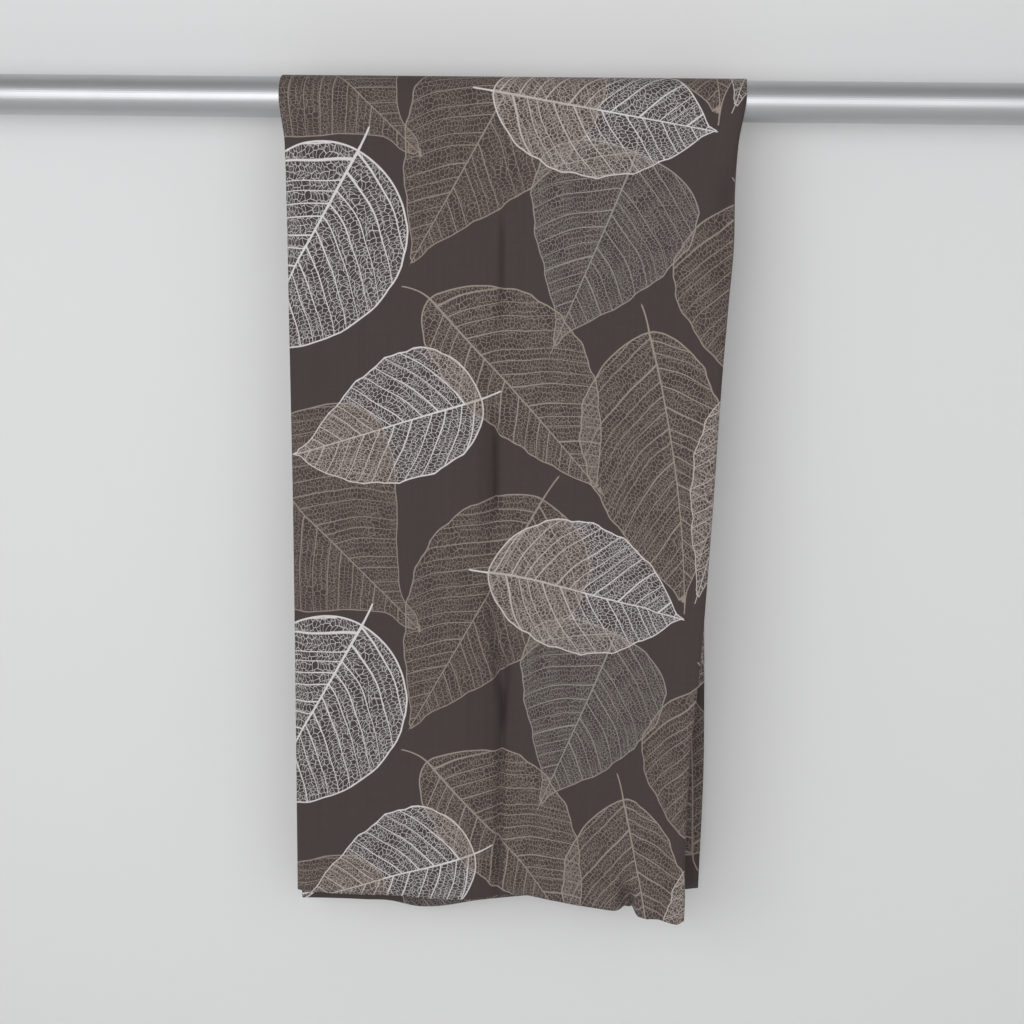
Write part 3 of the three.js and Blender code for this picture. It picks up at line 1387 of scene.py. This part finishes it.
@dataclass
class ViewingCamera:
    """Camera a little below the rod's height, tilted down, and slightly to the right."""

    focal: float = 66.02
    distance: float = 2.40
    height: float = -0.060
    tilt: float = 10.963
    yaw: float = 4.7
    roll: float = 0.68

    def build(self) -> None:
        """Places the camera and makes it the scene's."""
        data = bpy.data.cameras.new("viewing camera")
        data.lens = self.focal
        data.sensor_width = 36.0
        camera = add_object("viewing camera", data)
        yaw, tilt, roll = (math.radians(x) for x in (self.yaw, self.tilt, self.roll))
        forward = Vector(
            (-math.sin(yaw) * math.cos(tilt), math.cos(yaw) * math.cos(tilt), -math.sin(tilt))
        )
        level = Vector((math.cos(yaw), math.sin(yaw), 0))
        up = level.cross(forward)
        right = math.cos(roll) * level + math.sin(roll) * up
        above = -math.sin(roll) * level + math.cos(roll) * up
        turned = Matrix((right, above, -forward)).transposed().to_4x4()
        place = (self.distance * math.sin(yaw), -self.distance * math.cos(yaw), self.height)
        camera.matrix_world = Matrix.Translation(place) @ turned
        bpy.context.scene.camera = camera


@dataclass(frozen=True)
class Lamp:
    """A soft rectangular lamp: its place, aim, size and power."""

    name: str
    place: tuple[float, float, float]
    aim: tuple[float, float, float]
    size: tuple[float, float]
    power: float

    def build(self) -> None:
        """Adds the lamp."""
        data = bpy.data.lights.new(self.name, "AREA")
        data.shape = "RECTANGLE"
        data.size, data.size_y = self.size
        data.energy = self.power
        lamp = add_object(self.name, data)
        lamp.location = self.place
        towards = Vector(self.aim) - Vector(self.place)
        lamp.rotation_euler = towards.to_track_quat("-Z", "Y").to_euler()


@dataclass
class Studio:
    """Pale floor and wall, soft lamps and an even sky."""

    wall_gap: float = 0.07
    wall_half: float = 3.0
    floor_half: float = 6.0
    floor_level: float = -1.45
    ceiling_level: float = 1.5
    wall_colour: Colour = (0.84, 0.843, 0.85)
    floor_colour: Colour = (0.80, 0.80, 0.80)
    ceiling_colour: Colour = (0.58, 0.58, 0.58)
    backdrop: Colour = (0.72, 0.725, 0.735)
    fill: float = 0.41
    lamps: tuple[Lamp, ...] = (
        Lamp("left lamp", (-1.15, -2.3, 0.05), (0, 0, -0.4), (1.6, 1.7), 14.5),
        Lamp("right lamp", (1.15, -2.3, 0.05), (0, 0, -0.4), (1.6, 1.7), 9.8),
        Lamp("front lamp", (-0.15, -3.0, 0.1), (0, 0, -0.6), (0.9, 0.9), 11.0),
        Lamp("side lamp", (-2.5, -1.7, 0.0), (0, 0, -0.5), (1.5, 1.6), 2.0),
        Lamp("back lamp", (0.3, 2.4, 0.4), (0, 0, -0.5), (2.0, 2.0), 26),
    )

    def sheet(self, name: str, size: float, turned: Matrix, colour: Colour) -> bpy.types.Object:
        """Adds one plain sheet of the stage.

        Args:
            name: The object's name.
            size: Half the sheet's width.
            turned: Where the sheet goes.
            colour: Its colour.

        Returns:
            The sheet.
        """
        mesh = bpy.data.meshes.new(name)
        bm = bmesh.new()
        bmesh.ops.create_grid(bm, x_segments=1, y_segments=1, size=size)
        bmesh.ops.transform(bm, matrix=turned, verts=bm.verts)
        bm.to_mesh(mesh)
        bm.free()
        made = add_object(name, mesh)
        material, w, shader = new_material(name)
        matt = {"Roughness": 0.95, "Specular IOR Level": 0.1}
        w.feed(shader, {"Base Color": (*colour, 1.0), **matt})
        mesh.materials.append(material)
        return made

    def see_through_from_behind(self, sheet: bpy.types.Object) -> None:
        """Lets the cloth be seen and lit through the back of a sheet of the stage.

        Args:
            sheet: The sheet.
        """
        tree = sheet.data.materials[0].node_tree
        w = Wiring(tree)
        output = next(n for n in tree.nodes if n.type == "OUTPUT_MATERIAL")
        shader = next(n for n in tree.nodes if n.type == "BSDF_PRINCIPLED")
        behind = w.node("ShaderNodeNewGeometry").outputs["Backfacing"]
        clear = w.node("ShaderNodeBsdfTransparent").outputs[0]
        either = w.node("ShaderNodeMixShader", behind, shader.outputs[0], clear)
        w.join(either.outputs[0], output.inputs["Surface"])
        sheet.visible_shadow = False
        sheet.visible_diffuse = False

    def sky(self) -> None:
        """Even light from all round, and a pale background behind the object."""
        world = bpy.data.worlds.new("even sky")
        world.use_nodes = True
        world.node_tree.nodes.clear()
        w = Wiring(world.node_tree)
        ray = w.node("ShaderNodeLightPath").outputs
        seen = w.math("ADD", ray["Is Camera Ray"], ray["Is Glossy Ray"])
        seen = w.math("ADD", seen, ray["Is Transmission Ray"], clamp=True)
        light = w.node("ShaderNodeBackground", (1.0, 1.0, 1.0, 1.0), self.fill)
        shown = w.node("ShaderNodeBackground", (*self.backdrop, 1.0), 1.0)
        either = w.node("ShaderNodeMixShader", seen, light.outputs[0], shown.outputs[0])
        w.node("ShaderNodeOutputWorld", either.outputs[0])
        bpy.context.scene.world = world

    def build(self) -> None:
        """Sets up the whole stage."""
        floor = Matrix.Translation((0, 0, self.floor_level))
        self.sheet("studio floor", self.floor_half, floor, self.floor_colour)
        upright = Matrix.Rotation(math.radians(90), 4, "X")
        middle = Matrix.Translation((0, self.wall_gap, self.floor_level + self.wall_half))
        wall = self.sheet("studio wall", self.wall_half, middle @ upright, self.wall_colour)
        over = Matrix.Translation((0, 0, self.ceiling_level)) @ Matrix.Rotation(math.pi, 4, "X")
        ceiling = self.sheet("studio ceiling", self.wall_half, over, self.ceiling_colour)
        for sheet in (wall, ceiling):
            self.see_through_from_behind(sheet)
        for lamp in self.lamps:
            lamp.build()
        self.sky()
        bpy.context.scene.view_settings.view_transform = "Standard"


def main() -> None:
    """Builds the camera and stage, then the cloth, then finishes the rod."""
    logging.basicConfig(level=logging.INFO, format="%(message)s")
    ViewingCamera().build()
    Studio().build()
    LOG.info("camera and stage placed")

    maker = DrapedCloth()
    cloth = maker.build()
    maker.dress(cloth)
    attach(cloth, "root")
    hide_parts("panel")
    LOG.info("draped_cloth: %d faces before its thickness", len(cloth.data.polygons))

    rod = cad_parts["rod"]
    satin = SatinTube().material()
    for slot in rod.material_slots:
        slot.material = satin
    LOG.info("rod: satin finish")

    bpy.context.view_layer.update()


if __name__ == "__main__":
    main()
